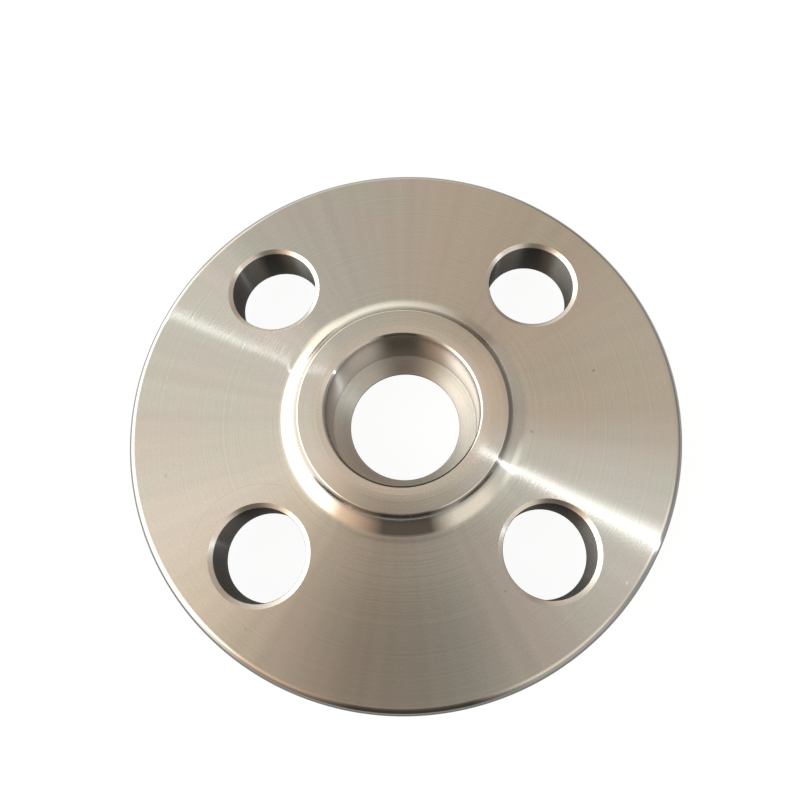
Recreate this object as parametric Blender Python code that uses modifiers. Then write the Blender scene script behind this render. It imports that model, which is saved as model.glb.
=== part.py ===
"""Socket-bored hub flange, nominal size 3/4 in, pressure class 150, in turned stainless steel.

Units are metres and +Z is up. The flange lies on its gasket side, as it would on a bench: the
origin is on the axis at the underside of the raised face, and the hub points up. One forged and
machined piece makes the whole object, so there is one solid: a turned body with four bolt holes.
"""

import math

import bmesh
import bpy

# Driving sizes of the turned body
FLANGE_DIAMETER = 0.100
PLATE_THICKNESS = 0.0096
RAISED_FACE_DIAMETER = 0.0429
RAISED_FACE_HEIGHT = 0.0016
HUB_TOP_DIAMETER = 0.0374
HUB_BASE_DIAMETER = 0.0400
HUB_HEIGHT = 0.0028
HUB_FILLET_RADIUS = 0.0040
SOCKET_DIAMETER = 0.0277
SOCKET_DEPTH = 0.0110
BORE_DIAMETER = 0.0213
BORE_LAND = 0.0004

# Edge breaks of the turned body
RIM_ROUND_RADIUS = 0.0018
RIM_BACK_CHAMFER = 0.0008
RAISED_FACE_CHAMFER = 0.0003
HUB_TOP_CHAMFER = 0.0003
SOCKET_CHAMFER = 0.00035
BORE_CHAMFER = 0.0002

# Bolt pattern
BOLT_COUNT = 4
BOLT_HOLE_DIAMETER = 0.0159
# Metal left between a bolt hole and the rim, which puts the holes on a 69.9 mm circle
BOLT_HOLE_TO_RIM = 0.0071
FIRST_BOLT_ANGLE = math.pi / BOLT_COUNT
# The front edge break is a shallow 120 degree countersink, the back one a plain 45 degree chamfer
COUNTERSINK_WIDTH = 0.00085
COUNTERSINK_ANGLE = math.radians(120)
BOLT_HOLE_BACK_CHAMFER = 0.0005

# How far a cutter stands clear of the face that it breaks through
CUTTER_OVERRUN = 0.0010

# Facets
BODY_STEPS = 96
HOLE_STEPS = 48
ROUND_SEGMENTS = 5
FILLET_SEGMENTS = 8
SMOOTH_ANGLE = math.radians(25)
MERGE_DISTANCE = 0.000001

# Levels along the axis, from the gasket side up
PLATE_BACK = RAISED_FACE_HEIGHT
PLATE_FRONT = PLATE_BACK + PLATE_THICKNESS
HUB_TOP = PLATE_FRONT + HUB_HEIGHT
SOCKET_FLOOR = HUB_TOP - SOCKET_DEPTH

BOLT_CIRCLE_RADIUS = FLANGE_DIAMETER / 2 - BOLT_HOLE_TO_RIM - BOLT_HOLE_DIAMETER / 2


def remove_scene_objects():
    for scene_object in list(bpy.data.objects):
        bpy.data.objects.remove(scene_object, do_unlink=True)


def new_collection(name):
    collection = bpy.data.collections.new(name)
    bpy.context.scene.collection.children.link(collection)
    return collection


def steel_material():
    """Fine-turned stainless steel, warm grey."""
    material = bpy.data.materials.new("turned_stainless_steel")
    material.use_nodes = True
    shader = material.node_tree.nodes["Principled BSDF"]
    shader.inputs["Base Color"].default_value = (0.56, 0.52, 0.46, 1.0)
    shader.inputs["Metallic"].default_value = 1.0
    shader.inputs["Roughness"].default_value = 0.32
    material.diffuse_color = (0.56, 0.52, 0.46, 1.0)
    return material


def arc(center_r, center_z, radius, start_degrees, end_degrees, segments):
    """Points of an arc in the profile plane, both ends included, as (radius, height) pairs."""
    points = []
    for step in range(segments + 1):
        angle = math.radians(start_degrees + (end_degrees - start_degrees) * step / segments)
        points.append((center_r + radius * math.cos(angle), center_z + radius * math.sin(angle)))
    return points


def hub_side():
    """The hub's tapered side, from its top edge break down into the round that meets the plate."""
    top_radius = HUB_TOP_DIAMETER / 2
    base_radius = HUB_BASE_DIAMETER / 2
    lean = math.atan2(base_radius - top_radius, HUB_HEIGHT)
    side_start = (top_radius + HUB_TOP_CHAMFER * math.tan(lean), HUB_TOP - HUB_TOP_CHAMFER)
    # The round touches the side and the plate equally far from the corner where they would meet.
    half_corner = (math.pi / 2 + lean) / 2
    side_length = (HUB_HEIGHT - HUB_TOP_CHAMFER) / math.cos(lean)
    touch_length = min(HUB_FILLET_RADIUS / math.tan(half_corner), side_length)
    radius = touch_length * math.tan(half_corner)
    fillet = arc(base_radius + touch_length, PLATE_FRONT + radius, radius,
                 180 + math.degrees(lean), 270, FILLET_SEGMENTS)
    flank = [side_start] if touch_length < side_length else []
    return [(top_radius - HUB_TOP_CHAMFER, HUB_TOP)] + flank + fillet


def body_profile():
    """The closed half section: down the outside from the hub's top, then up the bore."""
    rim = FLANGE_DIAMETER / 2
    raised = RAISED_FACE_DIAMETER / 2
    socket = SOCKET_DIAMETER / 2
    bore = BORE_DIAMETER / 2
    profile = hub_side()
    profile += arc(rim - RIM_ROUND_RADIUS, PLATE_FRONT - RIM_ROUND_RADIUS, RIM_ROUND_RADIUS,
                   90, 0, ROUND_SEGMENTS)
    profile += [
        (rim, PLATE_BACK + RIM_BACK_CHAMFER),
        (rim - RIM_BACK_CHAMFER, PLATE_BACK),
        (raised, PLATE_BACK),
        (raised, RAISED_FACE_CHAMFER),
        (raised - RAISED_FACE_CHAMFER, 0.0),
        (bore + BORE_CHAMFER, 0.0),
        (bore, BORE_CHAMFER),
        (bore, BORE_LAND),
        (socket, SOCKET_FLOOR),
        (socket, HUB_TOP - SOCKET_CHAMFER),
        (socket + SOCKET_CHAMFER, HUB_TOP),
    ]
    return profile


def bolt_hole_profile():
    """Half section of a bolt-hole cutter, closed on the axis: drill, countersink and back chamfer."""
    hole = BOLT_HOLE_DIAMETER / 2
    slope = 1 / math.tan(COUNTERSINK_ANGLE / 2)
    sink_top = hole + COUNTERSINK_WIDTH + CUTTER_OVERRUN
    # The cutter also clears whatever of the hub stands over a hole.
    top = HUB_TOP + CUTTER_OVERRUN
    bottom = -CUTTER_OVERRUN
    back_mouth = hole + BOLT_HOLE_BACK_CHAMFER + CUTTER_OVERRUN
    return [
        (0.0, top),
        (sink_top, top),
        (sink_top, PLATE_FRONT + CUTTER_OVERRUN * slope),
        (hole, PLATE_FRONT - COUNTERSINK_WIDTH * slope),
        (hole, PLATE_BACK + BOLT_HOLE_BACK_CHAMFER),
        (back_mouth, PLATE_BACK - CUTTER_OVERRUN),
        (back_mouth, bottom),
        (0.0, bottom),
    ]


def turned_object(name, profile, closed, steps, collection):
    """An outline of (radius, height) pairs at +X, spun about Z by a Screw modifier."""
    mesh = bpy.data.meshes.new(name)
    outline = bmesh.new()
    points = [outline.verts.new((radius, 0.0, height)) for radius, height in profile]
    for first, second in zip(points, points[1:]):
        outline.edges.new((first, second))
    if closed:
        outline.edges.new((points[-1], points[0]))
    outline.to_mesh(mesh)
    outline.free()
    turned = bpy.data.objects.new(name, mesh)
    collection.objects.link(turned)
    spin = turned.modifiers.new("turn", "SCREW")
    spin.axis = "Z"
    spin.angle = math.tau
    spin.screw_offset = 0.0
    spin.steps = steps
    spin.render_steps = steps
    spin.use_merge_vertices = True
    spin.merge_threshold = MERGE_DISTANCE
    return turned


def bolt_hole_cutters(collection):
    cutters = []
    for index in range(BOLT_COUNT):
        angle = FIRST_BOLT_ANGLE + math.tau * index / BOLT_COUNT
        cutter = turned_object(f"bolt_hole_cutter_{index + 1}", bolt_hole_profile(), False,
                               HOLE_STEPS, collection)
        cutter.location.x = BOLT_CIRCLE_RADIUS * math.cos(angle)
        cutter.location.y = BOLT_CIRCLE_RADIUS * math.sin(angle)
        cutter.hide_render = True
        cutter.display_type = "WIRE"
        cutters.append(cutter)
    return cutters


def cut(target, cutter):
    drill = target.modifiers.new(f"drill_{cutter.name}", "BOOLEAN")
    drill.operation = "DIFFERENCE"
    drill.object = cutter


def apply_and_shade(part):
    """Turn and drill for good, then shade the rounds smooth and the machined corners sharp."""
    depsgraph = bpy.context.evaluated_depsgraph_get()
    mesh = bpy.data.meshes.new_from_object(part.evaluated_get(depsgraph))
    mesh.shade_smooth()
    mesh.set_sharp_from_angle(angle=SMOOTH_ANGLE)
    part.modifiers.clear()
    part.data = mesh


def build():
    remove_scene_objects()
    part_collection = new_collection("hub_flange")
    cutter_collection = new_collection("cutters")
    flange = turned_object("flange", body_profile(), True, BODY_STEPS, part_collection)
    flange.data.materials.append(steel_material())
    for cutter in bolt_hole_cutters(cutter_collection):
        cut(flange, cutter)
    apply_and_shade(flange)


build()
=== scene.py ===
# %% [markdown]
# # A pipe flange in turned stainless steel
# The object is one forged piece of steel that was finished on a lathe and drilled. Its looks come
# from the lathe: every face carries fine rings, and the rings stretch each light into a spoke that
# runs from the hub to the rim. So this lesson first sets up the camera and the room that the steel
# mirrors, and then spends most of its care on the finishes. The shape comes last: half a section
# is swept round the axis and drilled with instanced cutters.

# %% Load the fixed frame
import math

import bpy
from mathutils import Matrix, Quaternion, Vector


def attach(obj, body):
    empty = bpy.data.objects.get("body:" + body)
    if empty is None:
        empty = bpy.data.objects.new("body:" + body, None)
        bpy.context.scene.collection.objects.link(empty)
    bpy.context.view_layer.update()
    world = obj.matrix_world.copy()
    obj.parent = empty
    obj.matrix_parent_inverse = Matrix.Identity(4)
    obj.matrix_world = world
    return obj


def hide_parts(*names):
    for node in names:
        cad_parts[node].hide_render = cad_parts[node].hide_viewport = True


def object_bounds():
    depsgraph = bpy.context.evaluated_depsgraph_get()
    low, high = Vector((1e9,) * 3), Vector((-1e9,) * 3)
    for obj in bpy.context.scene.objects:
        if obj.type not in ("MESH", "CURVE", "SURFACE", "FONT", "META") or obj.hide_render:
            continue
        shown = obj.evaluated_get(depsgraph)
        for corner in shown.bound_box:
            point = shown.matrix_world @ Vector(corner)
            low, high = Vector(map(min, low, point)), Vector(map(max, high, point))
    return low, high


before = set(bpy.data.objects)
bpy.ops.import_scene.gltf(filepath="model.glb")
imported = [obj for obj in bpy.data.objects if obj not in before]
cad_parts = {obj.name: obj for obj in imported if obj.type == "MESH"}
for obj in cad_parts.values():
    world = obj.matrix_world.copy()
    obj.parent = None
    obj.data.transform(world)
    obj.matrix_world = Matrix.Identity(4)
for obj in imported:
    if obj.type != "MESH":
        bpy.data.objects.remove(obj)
cad_low, cad_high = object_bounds()
MM = 0.001
flange_radius = (cad_high.x - cad_low.x) / 2
hub_top = cad_high.z
print(f"CAD nodes {sorted(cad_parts)}")
print(f"flange {flange_radius * 2 / MM:.1f} mm across, {hub_top / MM:.1f} mm tall")

# %% [markdown]
# ## Camera
# The photograph was taken by hand from close above, tipped a little towards the near side. Place,
# aim and lens were worked out from the circles of the disc, the hub and the four holes. The camera
# could track an empty, but a quaternion that points it at its aim needs no second object. A small
# roll then levels the picture.

# %% Camera at the photograph's viewing angle
CAMERA_PLACE = Vector((4.66, -31.14, 127.81)) * MM
CAMERA_AIM = Vector((1.88, 5.23, 14.0)) * MM
CAMERA_ROLL = math.radians(-5.29)
CAMERA_LENS = 30.06
CAMERA_SENSOR = 36.0
CAMERA_SHIFT = (-0.0156, -0.0260)
CAMERA_CLIP = (0.005, 50.0)

camera_data = bpy.data.cameras.new("photo_camera")
camera_data.lens = CAMERA_LENS
camera_data.sensor_width = CAMERA_SENSOR
camera_data.shift_x, camera_data.shift_y = CAMERA_SHIFT
camera_data.clip_start, camera_data.clip_end = CAMERA_CLIP
camera = bpy.data.objects.new("photo_camera", camera_data)
bpy.context.scene.collection.objects.link(camera)
camera.location = CAMERA_PLACE
camera.rotation_mode = "QUATERNION"
track = (CAMERA_AIM - CAMERA_PLACE).to_track_quat("-Z", "Y")
camera.rotation_quaternion = track @ Quaternion((0.0, 0.0, 1.0), CAMERA_ROLL)
bpy.context.scene.camera = camera
bpy.context.scene.view_settings.view_transform = "Standard"
print(f"camera {(CAMERA_AIM - CAMERA_PLACE).length / MM:.0f} mm from its aim")

# %% [markdown]
# ## Small helpers for node trees
# Materials, the world and Geometry Nodes are all trees of nodes. They could be wired by hand in
# the editor, but a script says the same thing in words that can be changed. Two helpers add a node
# and fill a socket. The others each stand for one node, or for two or three that always go
# together, so that the cells below read like sums.

# %% Helpers: add a node, fill a socket, calculate
def add_node(tree, kind, **options):
    node = tree.nodes.new(kind)
    for option, value in options.items():
        setattr(node, option, value)
    return node


def feed(tree, source, target):
    """Link a socket, or write a plain value, into an input socket."""
    if isinstance(source, bpy.types.NodeSocket):
        tree.links.new(source, target)
    else:
        target.default_value = source


def maths(tree, operation, *inputs):
    node = add_node(tree, "ShaderNodeMath", operation=operation)
    for socket, value in zip(node.inputs, inputs):
        feed(tree, value, socket)
    return node.outputs[0]


def vector_maths(tree, operation, *inputs):
    node = add_node(tree, "ShaderNodeVectorMath", operation=operation)
    for socket, value in zip(node.inputs, inputs):
        feed(tree, value, socket)
    return node.outputs["Value" if operation in ("DOT_PRODUCT", "LENGTH") else "Vector"]


print("helpers: add_node, feed, maths, vector_maths")


# %% Helpers: take vectors apart, scale and flatten them
def scaled(tree, vector, factor):
    node = add_node(tree, "ShaderNodeVectorMath", operation="SCALE")
    feed(tree, vector, node.inputs[0])
    feed(tree, factor, node.inputs["Scale"])
    return node.outputs["Vector"]


def flattened(tree, vector):
    """The level part of a vector: its height is taken out."""
    return vector_maths(tree, "MULTIPLY", vector, (1.0, 1.0, 0.0))


def parts_of(tree, vector):
    """The X, Y and Z of a vector, by name."""
    node = add_node(tree, "ShaderNodeSeparateXYZ")
    feed(tree, vector, node.inputs[0])
    return node.outputs


def vector_of(tree, **parts):
    """A vector from its X, Y or Z. A part that isn't given is zero."""
    node = add_node(tree, "ShaderNodeCombineXYZ")
    for name, value in parts.items():
        feed(tree, value, node.inputs[name])
    return node.outputs[0]


print("helpers: scaled, flattened, parts_of, vector_of")


# %% Helpers: ranges, colours, light and noise
def map_range(tree, value, low, high, out_low=0.0, out_high=1.0, smooth=False):
    kind = "SMOOTHSTEP" if smooth else "LINEAR"
    node = add_node(tree, "ShaderNodeMapRange", interpolation_type=kind)
    for socket, number in zip(node.inputs[:5], (value, low, high, out_low, out_high)):
        feed(tree, number, socket)
    return node.outputs["Result"]


def mix_colour(tree, factor, first, second):
    node = add_node(tree, "ShaderNodeMix", data_type="RGBA")
    feed(tree, factor, node.inputs[0])
    feed(tree, first, node.inputs[6])
    feed(tree, second, node.inputs[7])
    return node.outputs[2]


def added_light(tree, first, second):
    node = add_node(tree, "ShaderNodeAddShader")
    feed(tree, first, node.inputs[0])
    feed(tree, second, node.inputs[1])
    return node.outputs[0]


def noise_along(tree, position, roughness=0.5):
    """Noise along a line, in lumps about one unit long, mostly from 0.3 to 0.7."""
    noise = add_node(tree, "ShaderNodeTexNoise", noise_dimensions="1D")
    feed(tree, position, noise.inputs["W"])
    noise.inputs["Scale"].default_value = 1.0
    noise.inputs["Detail"].default_value = 2.0
    noise.inputs["Roughness"].default_value = roughness
    return noise.outputs["Fac"]


def noise_in_space(tree, place, size, detail):
    """Noise in lumps of this size, mostly from 0.3 to 0.7."""
    noise = add_node(tree, "ShaderNodeTexNoise", noise_dimensions="3D")
    feed(tree, place, noise.inputs["Vector"])
    noise.inputs["Scale"].default_value = 1 / size
    noise.inputs["Detail"].default_value = detail
    return noise.outputs["Fac"]


def centred(tree, noise):
    """Noise moved and stretched to about -1 to 1."""
    return maths(tree, "MULTIPLY", maths(tree, "SUBTRACT", noise, 0.5), 4.0)


print("helpers: map_range, mix_colour, added_light, noise_along, noise_in_space, centred")

# %% [markdown]
# ## The walls of the room
# Polished metal shows the room more than its own colour, so the room is half of the finish. It
# could be built from cards and area lamps, but a world made of nodes has no edges where one tone
# should run softly into the next. Its walls are two rings. The upper ring is what the flat face
# mirrors, one tone for each spoke of the disc. The lower ring is what the rounds and chamfers
# mirror: a white window at the left and a dim wall in front.

# %% Tones of the two rings
NEUTRAL = (1.03, 0.98, 0.93)
WARM = (1.10, 0.97, 0.85)
COOL = (1.00, 1.00, 0.98)
AMBER = (1.22, 0.92, 0.74)
# Each wall: spoke angle in degrees from +X towards +Y, brightness, and the tint of its light
UPPER_WALLS = (
    (0, 0.55, WARM),
    (34, 0.53, WARM),
    (50, 0.525, WARM),
    (75, 0.56, WARM),
    (100, 0.59, NEUTRAL),
    (132, 0.65, COOL),
    (145, 0.86, COOL),
    (165, 0.84, COOL),
    (206, 0.94, NEUTRAL),
    (222, 0.80, WARM),
    (240, 0.57, WARM),
    (260, 0.46, WARM),
    (284, 0.48, NEUTRAL),
    (302, 0.54, NEUTRAL),
    (316, 0.68, COOL),
    (345, 0.74, COOL),
)
LOWER_WALLS = (
    (0, 0.52, NEUTRAL),
    (14, 0.54, NEUTRAL),
    (34, 0.54, NEUTRAL),
    (41, 0.38, WARM),
    (54, 0.42, WARM),
    (72, 0.86, NEUTRAL),
    (95, 1.25, COOL),
    (142, 1.60, COOL),
    (152, 3.60, COOL),
    (223, 3.60, COOL),
    (231, 2.20, NEUTRAL),
    (238, 1.00, AMBER),
    (249, 0.55, AMBER),
    (260, 0.12, WARM),
    (283, 0.12, WARM),
    (296, 1.05, NEUTRAL),
    (312, 1.12, NEUTRAL),
    (324, 0.70, COOL),
)
print(f"{len(UPPER_WALLS)} upper and {len(LOWER_WALLS)} lower wall tones")

# %% A ring of walls as a colour ramp
# The window is the brightest wall, and a tint may lift one channel a little above it.
BRIGHTEST_WALL = 3.6
TINT_HEADROOM = 1.06
ROOM_STRENGTH = BRIGHTEST_WALL * TINT_HEADROOM


def room_share(tone):
    """A tone as a share of the room's strength, because the stops of a ramp end at 1."""
    return (*(channel / ROOM_STRENGTH for channel in tone), 1.0)


def wall_ring(tree, turn, walls):
    """A colour ramp round the compass, which closes on itself."""
    ramp = add_node(tree, "ShaderNodeValToRGB")
    closed = (*walls, (360, *walls[0][1:]))
    for index, (degrees, brightness, tint) in enumerate(closed):
        elements = ramp.color_ramp.elements
        # A new ramp comes with two stops, and the others are added to them.
        stop = elements[index] if index < 2 else elements.new(degrees / 360)
        stop.position = degrees / 360
        stop.color = room_share(brightness * channel for channel in tint)
    feed(tree, turn, ramp.inputs["Fac"])
    return ramp.outputs["Color"]


print(f"room strength {ROOM_STRENGTH:.2f}, which the ramps divide by")

# %% World: which wall lies in a direction
# Seen from the camera, all spokes of the disc mirror the sky outwards from this point overhead.
SPOKE_HUB = (-0.038, 0.25, 0.0)
# How far from that point the core gives way to the upper ring, and the upper ring to the lower
CORE_REACH = (0.03, 0.11)
RING_EDGE = (0.53, 0.76)
CORE_TONE = (0.80, 0.72, 0.64)
# The upper ring is uneven by a few percent, in lumps round the compass.
WALL_LUMPS = 110.0
LUMP_RANGE = (0.3, 0.7)
LUMP_TONES = (0.96, 1.04)

world = bpy.data.worlds.new("soft_room")
bpy.context.scene.world = world
world.use_nodes = True
room = world.node_tree
room.nodes.clear()
direction = add_node(room, "ShaderNodeTexCoord").outputs["Generated"]
overhead = flattened(room, direction)
spoke = vector_maths(room, "SUBTRACT", overhead, SPOKE_HUB)
compass = parts_of(room, spoke)
angle = maths(room, "ARCTAN2", compass["Y"], compass["X"])
turn = maths(room, "FRACT", maths(room, "ADD", maths(room, "DIVIDE", angle, math.tau), 1.0))
lumps = noise_along(room, maths(room, "MULTIPLY", turn, WALL_LUMPS))
uneven = map_range(room, lumps, *LUMP_RANGE, *LUMP_TONES)
upper = scaled(room, wall_ring(room, turn, UPPER_WALLS), uneven)
lower = wall_ring(room, turn, LOWER_WALLS)
spread = vector_maths(room, "LENGTH", spoke)
past_core = map_range(room, spread, *CORE_REACH, smooth=True)
upper = mix_colour(room, past_core, room_share(CORE_TONE), upper)
past_edge = map_range(room, spread, *RING_EDGE, smooth=True)
room_tone = mix_colour(room, past_edge, upper, lower)
print(f"the rings meet {RING_EDGE[0]} to {RING_EDGE[1]} from the point overhead")

# %% [markdown]
# ## Soft patches of the ceiling
# A real room isn't made of rings alone: what hangs or stands overhead leaves soft darker and paler
# patches on the steel. They could be objects above the camera, but then they would throw shadows
# too. Each patch here only pulls the walls' tone towards its own, most of all at its middle.

# %% Add the soft patches
# Each patch: where in the sky, inner and outer reach, share at its middle, and tone
PATCHES = (
    ((-0.05, -0.15, 0.0), (0.05, 0.25), 0.37, (0.0, 0.0, 0.0)),
    ((-0.055, 0.14, 0.0), (0.02, 0.10), 0.26, (0.0, 0.0, 0.0)),
    ((0.095, 0.28, 0.0), (0.02, 0.09), 0.42, (1.0, 0.88, 0.72)),
    ((0.62, -0.08, 0.0), (0.05, 0.22), 0.40, (1.8, 1.8, 1.7)),
    ((0.065, 0.12, 0.0), (0.02, 0.07), 0.15, (0.0, 0.0, 0.0)),
    ((0.16, 0.31, 0.0), (0.015, 0.06), 0.14, (0.12, 0.10, 0.0)),
    ((-0.48, 0.68, 0.0), (0.04, 0.18), 0.70, (1.8, 1.75, 1.6)),
    ((0.36, 0.34, 0.0), (0.04, 0.22), 0.13, (1.0, 1.0, 0.95)),
    ((-0.40, 0.03, 0.0), (0.04, 0.20), 0.12, (1.6, 1.6, 1.5)),
)

for centre, reach, middle_share, patch_tone in PATCHES:
    away = vector_maths(room, "LENGTH", vector_maths(room, "SUBTRACT", overhead, centre))
    patch_share = map_range(room, away, *reach, middle_share, 0.0, smooth=True)
    room_tone = mix_colour(room, patch_share, room_tone, room_share(patch_tone))
print(f"{len(PATCHES)} soft patches")

# %% [markdown]
# ## The long lamps
# The two bright spokes of the flange are the reflections of lamps. Turned rings mirror a lamp from
# a whole line of places, and an area lamp of the right shape would be hard to aim. So each lamp is
# drawn in the world, along the arc of sky that one spoke of the disc mirrors: both ends of the
# spoke are given, and the mirror rule finds the arc.

# %% Where a spoke is mirrored in the sky
# Both ends of a spoke as radius in mm, degrees from +X towards +Y, and height in mm
RIGHT_SPOKE = ((15.0, 330.4, 14.0), (46.0, 331.6, 11.2))
LEFT_SPOKE = ((15.0, 153.8, 14.0), (46.0, 154.4, 11.2))
LEFT_SPOKE_ON_HUB = ((15.0, 153.8, 14.0), (18.3, 153.4, 14.0))


def mirrored_sky(radius, degrees, height):
    """The sky direction that a level face shows the camera at this point of the disc, in mm."""
    angle = math.radians(degrees)
    point = Vector((radius * math.cos(angle), radius * math.sin(angle), height)) * MM
    sight = (point - CAMERA_PLACE).normalized()
    return Vector((sight.x, sight.y, -sight.z))


for label, spoke_ends in (("right", RIGHT_SPOKE), ("left", LEFT_SPOKE)):
    sky = [[round(part, 2) for part in mirrored_sky(*end)] for end in spoke_ends]
    print(f"the {label} spoke mirrors the sky from {sky[0]} to {sky[1]}")

# %% Brightness of one long lamp
# Over this stretch of sky the far end of a lamp narrows to a share of its width and gains light.
LAMP_END = (0.37, 0.46)
LAMP_END_WIDTH = 0.5
LAMP_END_GAIN = 3.0
# Half the length over which a lamp starts or stops
LAMP_FADE = 0.03


def long_lamp(tree, sky, near, far, half_width, widening, limits):
    """Brightness of a slim hoop of light that the spoke through both points mirrors all along."""
    start, end = mirrored_sky(*near), mirrored_sky(*far)
    run = (end - start).xy.normalized()
    side = Vector((-run.y, run.x, 0.0))
    run = Vector((run.x, run.y, 0.0))
    apart = vector_maths(tree, "DOT_PRODUCT", sky, side)
    apart = maths(tree, "SUBTRACT", apart, start.dot(side))
    along = vector_maths(tree, "DOT_PRODUCT", sky, run)
    along = maths(tree, "SUBTRACT", along, start.dot(run))
    ahead = maths(tree, "MAXIMUM", along, 0.0)
    width = maths(tree, "MULTIPLY_ADD", ahead, widening, half_width)
    slimmed = map_range(tree, along, *LAMP_END, 1.0, LAMP_END_WIDTH, smooth=True)
    away = maths(tree, "DIVIDE", apart, maths(tree, "MULTIPLY", width, slimmed))
    bell = maths(tree, "MULTIPLY", maths(tree, "MULTIPLY", away, away), -1.0)
    gain = map_range(tree, along, *LAMP_END, 1.0, LAMP_END_GAIN, smooth=True)
    slim = maths(tree, "MULTIPLY", maths(tree, "EXPONENT", bell), gain)
    starts, stops = ((limit - LAMP_FADE, limit + LAMP_FADE) for limit in limits)
    begun = map_range(tree, along, *starts, smooth=True)
    ended = map_range(tree, along, *stops, 1.0, 0.0, smooth=True)
    return maths(tree, "MULTIPLY", slim, maths(tree, "MULTIPLY", begun, ended))


print(f"a lamp's far end: {LAMP_END_GAIN} times the light, {LAMP_END_WIDTH} times the width")

# %% Light the room
# A cool white
LAMP_LIGHT = (0.88, 1.0, 1.12, 1.0)
# Each lamp: its spoke, half width at the near end, how fast it widens, its radiance, and where it
# starts and stops. They are the right lamp, the left lamp, the part of the left lamp that only the
# hub's top mirrors, and a soft glow round the right lamp.
LONG_LAMPS = (
    (RIGHT_SPOKE, 0.0048, 0.037, 1.20, (-0.10, 2.0)),
    (LEFT_SPOKE, 0.0022, 0.012, 1.00, (0.02, 2.0)),
    (LEFT_SPOKE_ON_HUB, 0.0030, 0.010, 0.60, (-0.06, 0.05)),
    (RIGHT_SPOKE, 0.0300, 0.220, 0.12, (0.15, 2.0)),
)

background = add_node(room, "ShaderNodeBackground")
feed(room, room_tone, background.inputs["Color"])
background.inputs["Strength"].default_value = ROOM_STRENGTH
light = background.outputs[0]
for (near, far), half_width, widening, radiance, limits in LONG_LAMPS:
    lamp = add_node(room, "ShaderNodeBackground")
    lamp.inputs["Color"].default_value = LAMP_LIGHT
    brightness = long_lamp(room, direction, near, far, half_width, widening, limits)
    feed(room, maths(room, "MULTIPLY", brightness, radiance), lamp.inputs["Strength"])
    light = added_light(room, light, lamp.outputs[0])
world_out = add_node(room, "ShaderNodeOutputWorld")
feed(room, light, world_out.inputs["Surface"])
print(f"{len(LONG_LAMPS)} long lamps, {len(room.nodes)} nodes in the room")

# %% [markdown]
# ## Pale floor
# The flange lies on something white. White paint would throw so much light back that the rim's
# side went pale, and it would need more light than the steel can take. So the floor is a dark
# paint, which keeps the object's shadow, under a glow that only the camera and mirrored or
# transmitted rays see.

# %% Floor with a glow
FLOOR_SPREAD = 6.0
FLOOR_PAINT = (0.13, 0.13, 0.13, 1.0)
FLOOR_GLOW = 0.92

floor_mesh = bpy.data.meshes.new("floor")
corners = [(x * FLOOR_SPREAD, y * FLOOR_SPREAD, 0.0)
           for x, y in ((-1, -1), (1, -1), (1, 1), (-1, 1))]
floor_mesh.from_pydata(corners, [], [(0, 1, 2, 3)])
floor = bpy.data.objects.new("floor", floor_mesh)
bpy.context.scene.collection.objects.link(floor)
floor_material = bpy.data.materials.new("pale_floor")
floor_material.use_nodes = True
paint = floor_material.node_tree
paint.nodes.clear()
diffuse = add_node(paint, "ShaderNodeBsdfDiffuse")
diffuse.inputs["Color"].default_value = FLOOR_PAINT
glow = add_node(paint, "ShaderNodeEmission")
rays = add_node(paint, "ShaderNodeLightPath")
seen = maths(paint, "MAXIMUM", rays.outputs["Is Camera Ray"], rays.outputs["Is Glossy Ray"])
seen = maths(paint, "MAXIMUM", seen, rays.outputs["Is Transmission Ray"])
feed(paint, maths(paint, "MULTIPLY", seen, FLOOR_GLOW), glow.inputs["Strength"])
floor_sum = added_light(paint, diffuse.outputs[0], glow.outputs[0])
floor_out = add_node(paint, "ShaderNodeOutputMaterial")
feed(paint, floor_sum, floor_out.inputs["Surface"])
floor_mesh.materials.append(floor_material)
print(f"floor {FLOOR_SPREAD * 2:.0f} m square")

# %% [markdown]
# ## The turned finish
# A lathe tool leaves a fine groove at each turn. Every groove leans a little towards the axis or
# away from it, never sideways, so light is smeared along the radius only. Grooves this fine can't
# be modelled or bumped without noise, so the material does what they do: it finds the ring that a
# point lies in, gives that ring a random lean, and turns the normal by it. The highlight that is
# left is narrow across the rings, which the anisotropy takes care of.

# %% Finish: the rings' directions
def ring_frame(tree, centre=None):
    """Place, radius, height and normal, and the directions round the axis and across the rings."""
    place = add_node(tree, "ShaderNodeTexCoord").outputs["Object"]
    if centre is not None:
        # The signs of X and Y move one hole's centre to the hole that the point is at.
        side = vector_maths(tree, "SIGN", place)
        offset = vector_maths(tree, "MULTIPLY", side, centre)
        place = vector_maths(tree, "SUBTRACT", place, offset)
    flat = flattened(tree, place)
    radius = vector_maths(tree, "LENGTH", flat)
    around = vector_maths(tree, "CROSS_PRODUCT", (0.0, 0.0, 1.0), flat)
    around = vector_maths(tree, "NORMALIZE", around)
    normal = add_node(tree, "ShaderNodeNewGeometry").outputs["Normal"]
    across = vector_maths(tree, "CROSS_PRODUCT", around, normal)
    across = vector_maths(tree, "NORMALIZE", across)
    return place, radius, parts_of(tree, place)["Z"], normal, around, across


def leaning_normal(tree, normal, leans):
    """The normal, leaned by each slope along its direction."""
    for toward, slope in leans:
        normal = vector_maths(tree, "ADD", normal, scaled(tree, toward, slope))
    return vector_maths(tree, "NORMALIZE", normal)


print("helpers: ring_frame, leaning_normal")

# %% Finish: grooves and tool lines
GROOVE_PITCH = 0.03 * MM
# A level face may lie at a whole number of pitches. This keeps it clear of the step between two.
GROOVE_OFFSET = 0.37
TOOL_LINE_PITCH = 0.25 * MM
# Tool lines run on up the sides, where a height counts for this much radius.
TOOL_LINE_CLIMB = 1.7


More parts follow.
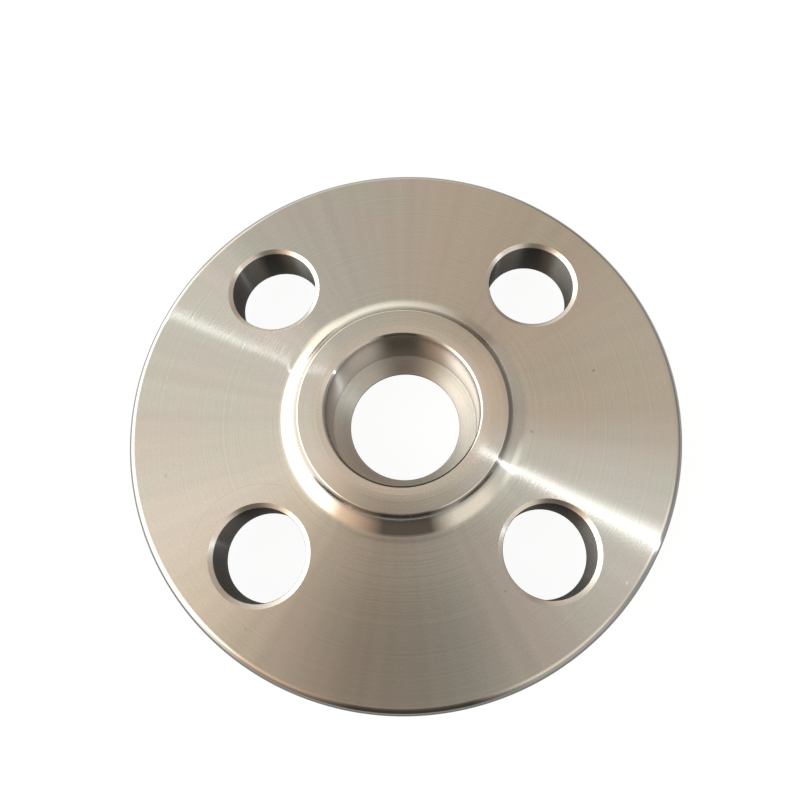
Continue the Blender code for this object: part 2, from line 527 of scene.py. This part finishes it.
def random_lean(tree, radius, height):
    """A number from -1 to 1 that belongs to one groove and keeps its value all round."""
    groove = []
    for value in (radius, height):
        count = maths(tree, "ADD", maths(tree, "DIVIDE", value, GROOVE_PITCH), GROOVE_OFFSET)
        groove.append(maths(tree, "FLOOR", count))
    chance = add_node(tree, "ShaderNodeTexWhiteNoise", noise_dimensions="2D")
    feed(tree, vector_of(tree, X=groove[0], Y=groove[1]), chance.inputs["Vector"])
    draws = add_node(tree, "ShaderNodeSeparateColor")
    feed(tree, chance.outputs["Color"], draws.inputs[0])
    both = maths(tree, "ADD", draws.outputs[0], draws.outputs[1])
    return maths(tree, "SUBTRACT", both, 1.0)


def tool_lines(tree, radius, height):
    """Slow waves across the rings, as the tool chattered a little, from about -1 to 1."""
    line = maths(tree, "ADD", radius, maths(tree, "MULTIPLY", height, TOOL_LINE_CLIMB))
    return centred(tree, noise_along(tree, maths(tree, "DIVIDE", line, TOOL_LINE_PITCH)))


print(f"grooves {GROOVE_PITCH / MM:.2f} mm and tool lines {TOOL_LINE_PITCH / MM:.2f} mm apart")

# %% [markdown]
# ## The tone of the steel
# Turned steel isn't one grey. Rings of slightly darker and paler tone fade in and out, wide clouds
# go from a trace of pink to a trace of green, and a fine mottle lies over all of it. A painted
# texture would need an unwrapped mesh. Noise that reads the place in the object needs none, and
# the streaks follow the tool because they read the radius alone.

# %% Finish: streaks, clouds and grain
STREAK_PITCH = 0.45 * MM
STREAK_ROUGHNESS = 0.7
STREAK_TONE = 0.03
CLOUD_SIZE = 12.0 * MM
CLOUD_RANGE = (0.35, 0.65)
# Streaks are this strong in the faintest and in the plainest clouds.
CLOUD_STREAKS = (0.3, 1.6)
PINKISH = (1.02, 0.99, 1.0)
GREENISH = (0.985, 1.01, 1.0)
GRAIN_SIZE = 0.35 * MM
GRAIN_TONE = 0.035
GRAIN_LEAN = 0.0014


def tinted(colour, tint):
    return (*(channel * factor for channel, factor in zip(colour, tint)), 1.0)


def grain(tree, place):
    """Fine mottle of the steel, from about -1 to 1."""
    return centred(tree, noise_in_space(tree, place, GRAIN_SIZE, detail=1.0))


def steel_tone(tree, place, radius, mottle, colour):
    """The steel's colour with its clouds, streaks and grain."""
    rings = noise_along(tree, maths(tree, "DIVIDE", radius, STREAK_PITCH), STREAK_ROUGHNESS)
    cloud = noise_in_space(tree, place, CLOUD_SIZE, detail=2.0)
    strength = map_range(tree, cloud, *CLOUD_RANGE, *CLOUD_STREAKS)
    streaks = maths(tree, "MULTIPLY", centred(tree, rings), strength)
    greener = map_range(tree, cloud, *CLOUD_RANGE, smooth=True)
    steel = mix_colour(tree, greener, tinted(colour, PINKISH), tinted(colour, GREENISH))
    shade = maths(tree, "MULTIPLY_ADD", streaks, STREAK_TONE, 1.0)
    return scaled(tree, steel, maths(tree, "MULTIPLY_ADD", mottle, GRAIN_TONE, shade))


print(f"streaks {STREAK_PITCH / MM:.2f} mm, clouds {CLOUD_SIZE / MM:.0f} mm")

# %% [markdown]
# ## Marks on the face
# The real flange has a few dents and specks, and a faint arc beside one bolt hole, such as a clamp
# or a tool leaves. They could be cut into the mesh, but they are too shallow to show there. So each
# is a spot or a ring of another tone, placed in millimetres on the disc.

# %% Finish: dents, specks and the witness arc
# Each mark: x, y and radius in mm, and the tone at its middle
FACE_MARKS = (
    (34.9, 7.1, 0.40, 0.70),
    (22.9, -4.1, 0.35, 0.70),
    (16.8, -31.1, 0.35, 0.80),
    (36.9, -30.0, 0.35, 1.30),
    (-42.1, -11.0, 0.35, 0.82),
    (-26.2, -36.6, 0.35, 0.87),
)
# A mark has its full tone out to this share of its radius.
MARK_MIDDLE = 0.3
# The arc: x, y and radius in mm, half its line's width in mm, and its tone
WITNESS_RING = (-24.7, -24.7, 12.1, 0.16, 0.94)
# Which way from its centre the arc lies, and how nearly that way it starts and is full
WITNESS_SIDE = (-0.55, 0.83, 0.0)
WITNESS_FADE = (0.2, 0.7)


def step_from(tree, flat, x, y):
    """The level step from a spot in mm to the shaded point."""
    return vector_maths(tree, "SUBTRACT", flat, (x * MM, y * MM, 0.0))


def spotted(tree, flat, steel):
    """The steel with its small dents and specks."""
    for x, y, size, tone in FACE_MARKS:
        away = vector_maths(tree, "LENGTH", step_from(tree, flat, x, y))
        middle = size * MM * MARK_MIDDLE
        mark = map_range(tree, away, middle, size * MM, tone, 1.0, smooth=True)
        steel = scaled(tree, steel, mark)
    return steel


def witness_arc(tree, flat, steel):
    """The steel with the faint arc beside one bolt hole."""
    x, y, size, width, tone = WITNESS_RING
    off = step_from(tree, flat, x, y)
    outside = maths(tree, "SUBTRACT", vector_maths(tree, "LENGTH", off), size * MM)
    from_line = maths(tree, "ABSOLUTE", outside)
    side = vector_maths(tree, "DOT_PRODUCT", vector_maths(tree, "NORMALIZE", off), WITNESS_SIDE)
    strength = map_range(tree, side, *WITNESS_FADE, 1.0, tone, smooth=True)
    middle = width * MM * MARK_MIDDLE
    return scaled(tree, steel, map_range(tree, from_line, middle, width * MM, strength, 1.0))


print(f"{len(FACE_MARKS)} marks and one arc")

# %% [markdown]
# ## Painted shade on steep edges
# Where a face turns steep, at the hub's side and over the rim, its colour is painted darker as
# painted shade, and a painted dark line runs round the rim. The mesh could carry a mask, but the
# upright part of the normal already tells how steep a face is.

# %% Painted shade: steep faces of the hub and the rim
# The hub's values give way to the rim's between these radii.
HUB_TO_RIM = (25 * MM, 45 * MM)
# The upright part of the normal where a face counts as steep, and where it counts as level
HUB_STEEP_RANGE = (0.62, 0.84)
RIM_STEEP_RANGE = (0.90, 0.985)
# The colour of the painted shade on steep faces
STEEP_SHADE_COLOUR = (0.31, 0.30, 0.28)
# The painted dark line over the rim's round, and lighter painted shade on the side below it
RIM_EDGE_RANGE = (0.48, 0.84)
RIM_EDGE_TONE = 0.12
RIM_SIDE_RANGE = (0.12, 0.34)
RIM_SIDE_TONE = 1.7


def painted_edge_shade(tree, steel, radius):
    """The steel with painted shade on its steep faces and a painted dark line round the rim."""
    facing = add_node(tree, "ShaderNodeTexCoord").outputs["Normal"]
    upright = parts_of(tree, facing)["Z"]
    low, high = (map_range(tree, radius, *HUB_TO_RIM, hub, rim)
                 for hub, rim in zip(HUB_STEEP_RANGE, RIM_STEEP_RANGE))
    # Painted shade: steep faces take the shade colour, with a painted dark line over the rim's
    # round
    level = map_range(tree, upright, low, high, smooth=True)
    edge = map_range(tree, radius, *HUB_TO_RIM, 1.0, RIM_EDGE_TONE)
    rim_line_shade = map_range(tree, upright, *RIM_EDGE_RANGE, edge, 1.0, smooth=True)
    below = map_range(tree, upright, *RIM_SIDE_RANGE, 1.0, 0.0, smooth=True)
    brighter = maths(tree, "MULTIPLY", below, maths(tree, "SUBTRACT", RIM_SIDE_TONE, rim_line_shade))
    steep_shade = scaled(tree, STEEP_SHADE_COLOUR, maths(tree, "ADD", rim_line_shade, brighter))
    return mix_colour(tree, level, steep_shade, steel)


print(f"dark line round the rim at {RIM_EDGE_TONE:.0%} of the steep tone")

# %% [markdown]
# ## One recipe for every finish
# The face, the socket and the drilled holes were all cut by a tool that went round, so they share
# one recipe and differ in a few numbers: how coarse the grooves are, how polished the steel is,
# and round which axis the rings run. One function makes each material, which keeps the finishes
# related.

# %% Finish: the recipe
def steel_material(name, colour, roughness, lean, waves=0.012, brushed=1.0, tilts=None,
                   centre=None, outside=False):
    """Steel cut by a turning tool.

    Lean and waves are the slopes of the grooves and of the tool lines, and brushed is the
    anisotropy. Tilts lean all grooves one way, and differ between two heights: both heights, and
    the slope at each. The outside has marks, and painted shade on its steep edges.
    """
    material = bpy.data.materials.new(name)
    material.use_nodes = True
    tree = material.node_tree
    shader = tree.nodes["Principled BSDF"]
    shader.inputs["Metallic"].default_value = 1.0
    shader.inputs["Roughness"].default_value = roughness
    shader.inputs["Anisotropic"].default_value = brushed
    place, radius, height, normal, around, across = ring_frame(tree, centre)
    mottle = grain(tree, place)
    steel = steel_tone(tree, place, radius, mottle, colour)
    if outside:
        flat = flattened(tree, place)
        steel = witness_arc(tree, flat, spotted(tree, flat, steel))
        steel = painted_edge_shade(tree, steel, radius)
    feed(tree, steel, shader.inputs["Base Color"])
    slope = maths(tree, "MULTIPLY", random_lean(tree, radius, height), lean)
    if tilts is not None:
        slope = maths(tree, "ADD", slope, map_range(tree, height, *tilts))
    slope = maths(tree, "MULTIPLY_ADD", tool_lines(tree, radius, height), waves, slope)
    leans = ((across, slope), (around, maths(tree, "MULTIPLY", mottle, GRAIN_LEAN)))
    feed(tree, leaning_normal(tree, normal, leans), shader.inputs["Normal"])
    feed(tree, across, shader.inputs["Tangent"])
    print(f"{name}: {len(tree.nodes)} nodes")
    return material


# %% [markdown]
# ## Finishes of the outside and of the gasket face
# The outside was turned with a fine feed and is nearly polished. The gasket face is left coarser
# on purpose, because its grooves hold the gasket.

# %% Turned and gasket finish
STEEL_COLOUR = (0.66, 0.61, 0.525)

# The outside's material also carries the painted shade of its steep edges.
turned_finish_and_shade = steel_material("turned_finish_and_shade", STEEL_COLOUR, roughness=0.08, lean=0.05,
                               waves=0.010, outside=True)
gasket_finish = steel_material("gasket_finish", STEEL_COLOUR, roughness=0.28, lean=0.10)

# %% [markdown]
# ## Finishes of the socket and the bore
# Inside, the light comes from the mouth alone, and the tool chattered more. The socket's wall is
# rough with strong tool lines, and the cone under it is rougher still. Both are painted darker
# than the steel outside, a painted shade for the inside of the bore, and the short land at the
# bottom is painted very dark, a painted shade at the bottom of the bore. The wall's grooves lean
# more the deeper they lie, which gives the change of tone from mouth to floor.

# %% Socket, bored and land finish
# Two heights, and the slope of the grooves at each
SOCKET_TILTS = (3.0 * MM, 14.0 * MM, 2.2, 0.40)
CONE_TILTS = (0.4 * MM, 3.0 * MM, 0.33, 0.33)

# The socket's darker colour is painted shade for the inside of the bore.
socket_finish_and_shade = steel_material("socket_finish_and_shade", (0.36, 0.33, 0.285), roughness=0.28, lean=0.12,
                               waves=0.10, brushed=0.85, tilts=SOCKET_TILTS)
# The cone's darker colour is painted shade for the inside of the bore.
bored_finish_and_shade = steel_material("bored_finish_and_shade", (0.48, 0.44, 0.38), roughness=0.36, lean=0.14,
                              waves=0.05, brushed=0.5, tilts=CONE_TILTS)
# The land's very dark colour is painted shade at the bottom of the bore.
land_finish_and_shade = steel_material("land_finish_and_shade", (0.14, 0.13, 0.12), roughness=0.40, lean=0.15)

# %% [markdown]
# ## Finishes of the bolt holes
# A drill leaves a rougher wall than a lathe tool, and the countersink is cut by a third tool. The
# drilled wall's very dark colour is painted shade for the inside of the hole. The rings of both
# run round the hole and not round the flange. The four holes are mirror images of each other, so
# one centre and the signs of X and Y serve them all.

# %% Drilled and countersunk finish
BOLT_CIRCLE_RADIUS = 34.95 * MM
HOLE_OFFSET = BOLT_CIRCLE_RADIUS * math.sqrt(0.5)
HOLE_CENTRE = (HOLE_OFFSET, HOLE_OFFSET, 0.0)
DRILL_TILTS = (1.6 * MM, 11.2 * MM, 0.90, 0.70)

# The drilled wall's very dark colour is painted shade inside the hole.
drilled_finish_and_shade = steel_material("drilled_finish_and_shade", (0.12, 0.115, 0.105), roughness=0.34, lean=0.15,
                                waves=0.06, tilts=DRILL_TILTS, centre=HOLE_CENTRE)
countersunk_finish = steel_material("countersunk_finish", STEEL_COLOUR, roughness=0.30, lean=0.08,
                                    brushed=0.6, centre=HOLE_CENTRE)

# %% [markdown]
# ## The half section
# A turned part is one outline spun round an axis, so the outline is the whole design. Each corner
# is written once with the size of its round, because a real edge is never quite sharp. The rounds
# could be drawn point by point, but Blender's Fillet Curve makes them later from the same two
# numbers. The gasket face gets its fine grooves by a loop.

# %% Sizes of the body
PLATE_BACK = 1.6 * MM
PLATE_FRONT = 11.2 * MM
RAISED_FACE_RADIUS = 21.45 * MM
HUB_TOP_RADIUS = 18.7 * MM
HUB_BASE_RADIUS = 20.4 * MM
SOCKET_RADIUS = 13.8 * MM
SOCKET_DEPTH = 11.0 * MM
SOCKET_CHAMFER = 0.4 * MM
BORE_RADIUS = 10.65 * MM
BORE_LAND = 0.4 * MM
# Each round: its radius, and the number of steps it is made in
HUB_EDGE = (0.36 * MM, 8)
HUB_FOOT = (5.4 * MM, 20)
RIM_EDGE = (1.5 * MM, 14)
RIM_BACK_EDGE = (0.7 * MM, 8)
RAISED_FACE_EDGE = (0.25 * MM, 5)
BORE_EDGE = (0.12 * MM, 4)
LAND_EDGE = (0.1 * MM, 3)
SOCKET_FLOOR_EDGE = (0.5 * MM, 6)
SOCKET_MOUTH_EDGE = (0.06 * MM, 3)
SHARP = (0.0, 1)
print(f"plate {(PLATE_FRONT - PLATE_BACK) / MM:.1f} mm, hub {(hub_top - PLATE_FRONT) / MM:.1f} mm")

# %% Outline of the body
GASKET_GROOVE_PITCH = 0.5 * MM
GASKET_GROOVE_DEPTH = 0.05 * MM
GASKET_BAND = (11.4 * MM, 20.9 * MM)


def gasket_grooves():
    """Shallow vee grooves across the gasket face, from outside in, as sharp corners."""
    inner, outer = GASKET_BAND
    count = round((outer - inner) / GASKET_GROOVE_PITCH)
    points = []
    for groove in range(count):
        edge = outer - groove * GASKET_GROOVE_PITCH
        points.append((edge, 0.0, SHARP))
        points.append((edge - GASKET_GROOVE_PITCH / 2, GASKET_GROOVE_DEPTH, SHARP))
    points.append((inner, 0.0, SHARP))
    return points


def body_outline():
    """Corners as radius, height and round, down the outside and up the bore."""
    return [
        (HUB_TOP_RADIUS, hub_top, HUB_EDGE),
        (HUB_BASE_RADIUS, PLATE_FRONT, HUB_FOOT),
        (flange_radius, PLATE_FRONT, RIM_EDGE),
        (flange_radius, PLATE_BACK, RIM_BACK_EDGE),
        (RAISED_FACE_RADIUS, PLATE_BACK, RAISED_FACE_EDGE),
        (RAISED_FACE_RADIUS, 0.0, RAISED_FACE_EDGE),
        *gasket_grooves(),
        (BORE_RADIUS, 0.0, BORE_EDGE),
        (BORE_RADIUS, BORE_LAND, LAND_EDGE),
        (SOCKET_RADIUS, hub_top - SOCKET_DEPTH, SOCKET_FLOOR_EDGE),
        (SOCKET_RADIUS, hub_top - SOCKET_CHAMFER, SOCKET_MOUTH_EDGE),
        (SOCKET_RADIUS + SOCKET_CHAMFER, hub_top, SOCKET_MOUTH_EDGE),
    ]


print(f"{len(body_outline())} corners in the body's outline")

# %% [markdown]
# ## The drill
# On the real flange each bolt hole was drilled, given a shallow countersink in front and a small
# chamfer behind. A cutter with all three in one outline does the same in a single cut.

# %% Outline of the drill
HOLE_RADIUS = 7.95 * MM
SINK_WIDTH = 0.85 * MM
SINK_SLOPE = math.tan(math.radians(30))
SINK_EDGE = (0.25 * MM, 4)
BACK_CHAMFER = 0.5 * MM
BACK_EDGE = (0.1 * MM, 3)
DRILL_OVERRUN = 1.0 * MM


def drill_outline():
    """Corners of the drill from the axis over the countersink down to the axis again."""
    wide = HOLE_RADIUS + SINK_WIDTH + DRILL_OVERRUN
    back_wide = HOLE_RADIUS + BACK_CHAMFER + DRILL_OVERRUN
    return [
        (0.0, PLATE_FRONT + DRILL_OVERRUN * SINK_SLOPE, SHARP),
        (wide, PLATE_FRONT + DRILL_OVERRUN * SINK_SLOPE, SHARP),
        (HOLE_RADIUS, PLATE_FRONT - SINK_WIDTH * SINK_SLOPE, SINK_EDGE),
        (HOLE_RADIUS, PLATE_BACK + BACK_CHAMFER, BACK_EDGE),
        (back_wide, PLATE_BACK - DRILL_OVERRUN, SHARP),
        (0.0, PLATE_BACK - DRILL_OVERRUN, SHARP),
    ]


print(f"drill {HOLE_RADIUS * 2 / MM:.1f} mm, {len(drill_outline())} corners")


# %% Both outlines as one mesh of edges
def outline_mesh(name, outlines):
    """Edges only: x is the radius, and y the height turned down, as the sweep wants it."""
    points, edges, rounds, steps, drills = [], [], [], [], []
    for is_drill, outline in outlines:
        start = len(points)
        for radius, height, (corner_round, corner_steps) in outline:
            points.append((radius, -height, 0.0))
            rounds.append(corner_round)
            steps.append(corner_steps)
            drills.append(is_drill)
        edges += [(start + i, start + i + 1) for i in range(len(outline) - 1)]
        if not is_drill:
            edges.append((start + len(outline) - 1, start))
    mesh = bpy.data.meshes.new(name)
    mesh.from_pydata(points, edges, [])
    mesh.attributes.new("corner_round", "FLOAT", "POINT").data.foreach_set("value", rounds)
    mesh.attributes.new("corner_steps", "INT", "POINT").data.foreach_set("value", steps)
    mesh.attributes.new("is_drill", "BOOLEAN", "POINT").data.foreach_set("value", drills)
    return mesh


section = outline_mesh("half_sections", ((False, body_outline()), (True, drill_outline())))
print(f"{len(section.vertices)} corners in both outlines")

# %% [markdown]
# ## Sweep with Geometry Nodes
# Turning is a sweep of the outline along a circle. A Screw modifier would spin it too, but the
# tree can round the corners first, and it keeps the number of facets as an input. The circle runs
# inside the metal, because a sweep along a circle of no radius would have no direction.

# %% Tree: round the corners and sweep
MERGE_DISTANCE = 0.0005 * MM


def named_value(tree, name, kind):
    node = add_node(tree, "GeometryNodeInputNamedAttribute", data_type=kind)
    node.inputs["Name"].default_value = name
    return node.outputs["Attribute"]


def swept(tree, outline, turns, spine_radius):
    """Round the outline's corners and sweep it about Z. The spine is a circle inside the metal."""
    curve = add_node(tree, "GeometryNodeMeshToCurve")
    feed(tree, outline, curve.inputs["Mesh"])
    fillet = add_node(tree, "GeometryNodeFilletCurve", mode="POLY")
    feed(tree, curve.outputs["Curve"], fillet.inputs["Curve"])
    feed(tree, named_value(tree, "corner_steps", "INT"), fillet.inputs["Count"])
    feed(tree, named_value(tree, "corner_round", "FLOAT"), fillet.inputs["Radius"])
    fillet.inputs["Limit Radius"].default_value = True
    spine = add_node(tree, "GeometryNodeCurvePrimitiveCircle", mode="RADIUS")
    feed(tree, turns, spine.inputs["Resolution"])
    feed(tree, spine_radius, spine.inputs["Radius"])
    upright = add_node(tree, "GeometryNodeSetCurveNormal", mode="Z_UP")
    feed(tree, spine.outputs["Curve"], upright.inputs["Curve"])
    # The outline moves in by the spine's radius, so that the sweep puts it back in its place.
    shifted = add_node(tree, "GeometryNodeSetPosition")
    feed(tree, fillet.outputs["Curve"], shifted.inputs["Geometry"])
    inwards = vector_of(tree, X=maths(tree, "MULTIPLY", spine_radius, -1.0))
    feed(tree, inwards, shifted.inputs["Offset"])
    solid = add_node(tree, "GeometryNodeCurveToMesh")
    feed(tree, upright.outputs["Curve"], solid.inputs["Curve"])
    feed(tree, shifted.outputs["Geometry"], solid.inputs["Profile Curve"])
    merged = add_node(tree, "GeometryNodeMergeByDistance")
    feed(tree, solid.outputs["Mesh"], merged.inputs["Geometry"])
    merged.inputs["Distance"].default_value = MERGE_DISTANCE
    return merged.outputs["Geometry"]


print(f"corners nearer than {MERGE_DISTANCE / MM} mm are merged")

# %% [markdown]
# ## Drill and finish with Geometry Nodes
# The holes sit on a bolt circle, so one drill is put on every point of a circle and all of them
# cut at once. Changing the number of holes or the circle is then one input. The cut keeps the
# drill's finish on the faces that the drill made. Inside the flange, radius and height tell which
# finish a face gets.

# %% Tree: drills on the bolt circle
def cut_holes(tree, given, body, drill):
    """The body less one drill at each point of the bolt circle, as real geometry."""
    circle = add_node(tree, "GeometryNodeMeshCircle")
    feed(tree, given["Bolt holes"], circle.inputs["Vertices"])
    feed(tree, given["Bolt circle radius"], circle.inputs["Radius"])
    turned_circle = add_node(tree, "GeometryNodeTransform")
    feed(tree, circle.outputs["Mesh"], turned_circle.inputs["Geometry"])
    feed(tree, vector_of(tree, Z=given["First hole angle"]), turned_circle.inputs["Rotation"])
    drills = add_node(tree, "GeometryNodeInstanceOnPoints")
    feed(tree, turned_circle.outputs["Geometry"], drills.inputs["Points"])
    feed(tree, drill, drills.inputs["Instance"])
    cut = add_node(tree, "GeometryNodeMeshBoolean", operation="DIFFERENCE", solver="EXACT")
    feed(tree, body, cut.inputs["Mesh 1"])
    feed(tree, drills.outputs["Instances"], cut.inputs["Mesh 2"])
    real = add_node(tree, "GeometryNodeRealizeInstances")
    feed(tree, cut.outputs["Mesh"], real.inputs["Geometry"])
    return real.outputs["Geometry"]


print("helper: cut_holes")


# %% Tree: a finish for each face
def with_material(tree, geometry, material_socket, selection=None):
    node = add_node(tree, "GeometryNodeSetMaterial")
    feed(tree, geometry, node.inputs["Geometry"])
    feed(tree, material_socket, node.inputs["Material"])
    if selection is not None:
        feed(tree, selection, node.inputs["Selection"])
    return node.outputs["Geometry"]


def face_place(tree):
    return add_node(tree, "GeometryNodeInputPosition").outputs["Position"]


def above(tree, level):
    return maths(tree, "GREATER_THAN", parts_of(tree, face_place(tree))["Z"], level)


def finish_inside(tree, given, flange):
    """The finishes of the bore, the socket's wall, the gasket face and the land."""
    place = face_place(tree)
    radius = vector_maths(tree, "LENGTH", flattened(tree, place))
    in_socket = maths(tree, "LESS_THAN", radius, given["Socket radius"])
    in_wall = maths(tree, "MULTIPLY", in_socket, above(tree, given["Socket floor"]))
    on_gasket = maths(tree, "LESS_THAN", parts_of(tree, place)["Z"], given["Gasket level"])
    on_land = maths(tree, "LESS_THAN", radius, given["Land radius"])
    flange = with_material(tree, flange, given["Bored finish and shade"], in_socket)
    flange = with_material(tree, flange, given["Socket finish and shade"], in_wall)
    flange = with_material(tree, flange, given["Gasket finish"], on_gasket)
    return with_material(tree, flange, given["Land finish and shade"], on_land)


print("helpers: with_material, face_place, above, finish_inside")

# %% Tree: the whole of it
TREE_INPUTS = (
    ("Outlines", "NodeSocketGeometry"),
    ("Turning steps", "NodeSocketInt"),
    ("Drill steps", "NodeSocketInt"),
    ("Spine radius", "NodeSocketFloat"),
    ("Drill spine radius", "NodeSocketFloat"),
    ("Bolt holes", "NodeSocketInt"),
    ("Bolt circle radius", "NodeSocketFloat"),
    ("First hole angle", "NodeSocketFloat"),
    ("Socket radius", "NodeSocketFloat"),
    ("Gasket level", "NodeSocketFloat"),
    ("Turned finish and shade", "NodeSocketMaterial"),
    ("Bored finish and shade", "NodeSocketMaterial"),
    ("Socket finish and shade", "NodeSocketMaterial"),
    ("Socket floor", "NodeSocketFloat"),
    ("Drilled finish and shade", "NodeSocketMaterial"),
    ("Countersunk finish", "NodeSocketMaterial"),
    ("Countersink level", "NodeSocketFloat"),
    ("Gasket finish", "NodeSocketMaterial"),
    ("Land radius", "NodeSocketFloat"),
    ("Land finish and shade", "NodeSocketMaterial"),
)


def flange_tree():
    tree = bpy.data.node_groups.new("turned_and_drilled", "GeometryNodeTree")
    for name, kind in TREE_INPUTS:
        tree.interface.new_socket(name=name, in_out="INPUT", socket_type=kind)
    tree.interface.new_socket(name="Flange", in_out="OUTPUT", socket_type="NodeSocketGeometry")
    given = add_node(tree, "NodeGroupInput").outputs
    parts = add_node(tree, "GeometryNodeSeparateGeometry", domain="POINT")
    feed(tree, given["Outlines"], parts.inputs["Geometry"])
    feed(tree, named_value(tree, "is_drill", "BOOLEAN"), parts.inputs["Selection"])
    drill, body = parts.outputs["Selection"], parts.outputs["Inverted"]
    drill = swept(tree, drill, given["Drill steps"], given["Drill spine radius"])
    body = swept(tree, body, given["Turning steps"], given["Spine radius"])
    body = with_material(tree, body, given["Turned finish and shade"])
    drill = with_material(tree, drill, given["Drilled finish and shade"])
    in_sink = above(tree, given["Countersink level"])
    drill = with_material(tree, drill, given["Countersunk finish"], in_sink)
    flange = finish_inside(tree, given, cut_holes(tree, given, body, drill))
    feed(tree, flange, add_node(tree, "NodeGroupOutput").inputs["Flange"])
    return tree


print(f"{len(TREE_INPUTS)} named inputs")

# %% [markdown]
# ## Run the lathe
# All sizes reach the tree by the names of its inputs. The modifier stores them under identifiers,
# so the names are looked up once. The margins let the small rounds at the edges of the socket and
# of the land take the finish inside them.

# %% Set the inputs of the tree
TURNING_STEPS = 288
DRILL_STEPS = 96
BODY_SPINE = 15.0 * MM
DRILL_SPINE = 4.0 * MM
BOLT_HOLES = 4
FIRST_HOLE_ANGLE = math.radians(45)
SOCKET_MARGIN = 0.04 * MM
LAND_MARGIN = 0.08 * MM
# The countersunk finish reaches down to this share of the countersink's depth.
SINK_SHARE = 0.9

blank = bpy.data.objects.new("flange_blank", section)
bpy.context.scene.collection.objects.link(blank)
lathe = blank.modifiers.new("lathe", "NODES")
lathe.node_group = flange_tree()
settings = {
    "Turning steps": TURNING_STEPS,
    "Drill steps": DRILL_STEPS,
    "Spine radius": BODY_SPINE,
    "Drill spine radius": DRILL_SPINE,
    "Bolt holes": BOLT_HOLES,
    "Bolt circle radius": BOLT_CIRCLE_RADIUS,
    "First hole angle": FIRST_HOLE_ANGLE,
    "Socket radius": SOCKET_RADIUS + SOCKET_MARGIN,
    "Gasket level": GASKET_GROOVE_DEPTH,
    "Turned finish and shade": turned_finish_and_shade,
    "Bored finish and shade": bored_finish_and_shade,
    "Socket finish and shade": socket_finish_and_shade,
    "Socket floor": hub_top - SOCKET_DEPTH,
    "Drilled finish and shade": drilled_finish_and_shade,
    "Countersunk finish": countersunk_finish,
    "Countersink level": PLATE_FRONT - SINK_WIDTH * SINK_SLOPE * SINK_SHARE,
    "Gasket finish": gasket_finish,
    "Land radius": BORE_RADIUS + LAND_MARGIN,
    "Land finish and shade": land_finish_and_shade,
}
for item in lathe.node_group.interface.items_tree:
    if item.item_type == "SOCKET" and item.in_out == "INPUT" and item.name in settings:
        lathe[item.identifier] = settings[item.name]
print("tree inputs set:", ", ".join(settings))

# %% [markdown]
# ## One plain mesh
# The flange is one piece of steel, so the tree's result becomes one mesh without a modifier, which
# an export can take as it is. Rounds are shaded smooth, and corners that the tool left crisp stay
# sharp. The finished piece then stands for the CAD node and rides on its body.

# %% Turn the result into a plain mesh
SHARP_ANGLE = math.radians(22)


def plain_mesh(source, name):
    graph = bpy.context.evaluated_depsgraph_get()
    mesh = bpy.data.meshes.new_from_object(source.evaluated_get(graph))
    mesh.name = name
    return mesh


flange_mesh = plain_mesh(blank, "flange_body")
bpy.data.objects.remove(blank)
flange_mesh.shade_smooth()
flange_mesh.set_sharp_from_angle(angle=SHARP_ANGLE)
flange_body = bpy.data.objects.new("flange_body", flange_mesh)
bpy.context.scene.collection.objects.link(flange_body)
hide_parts("flange")
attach(flange_body, "root")
finish_names = [material.name for material in flange_mesh.materials if material]
print(f"{len(flange_mesh.polygons)} faces, materials {finish_names}")
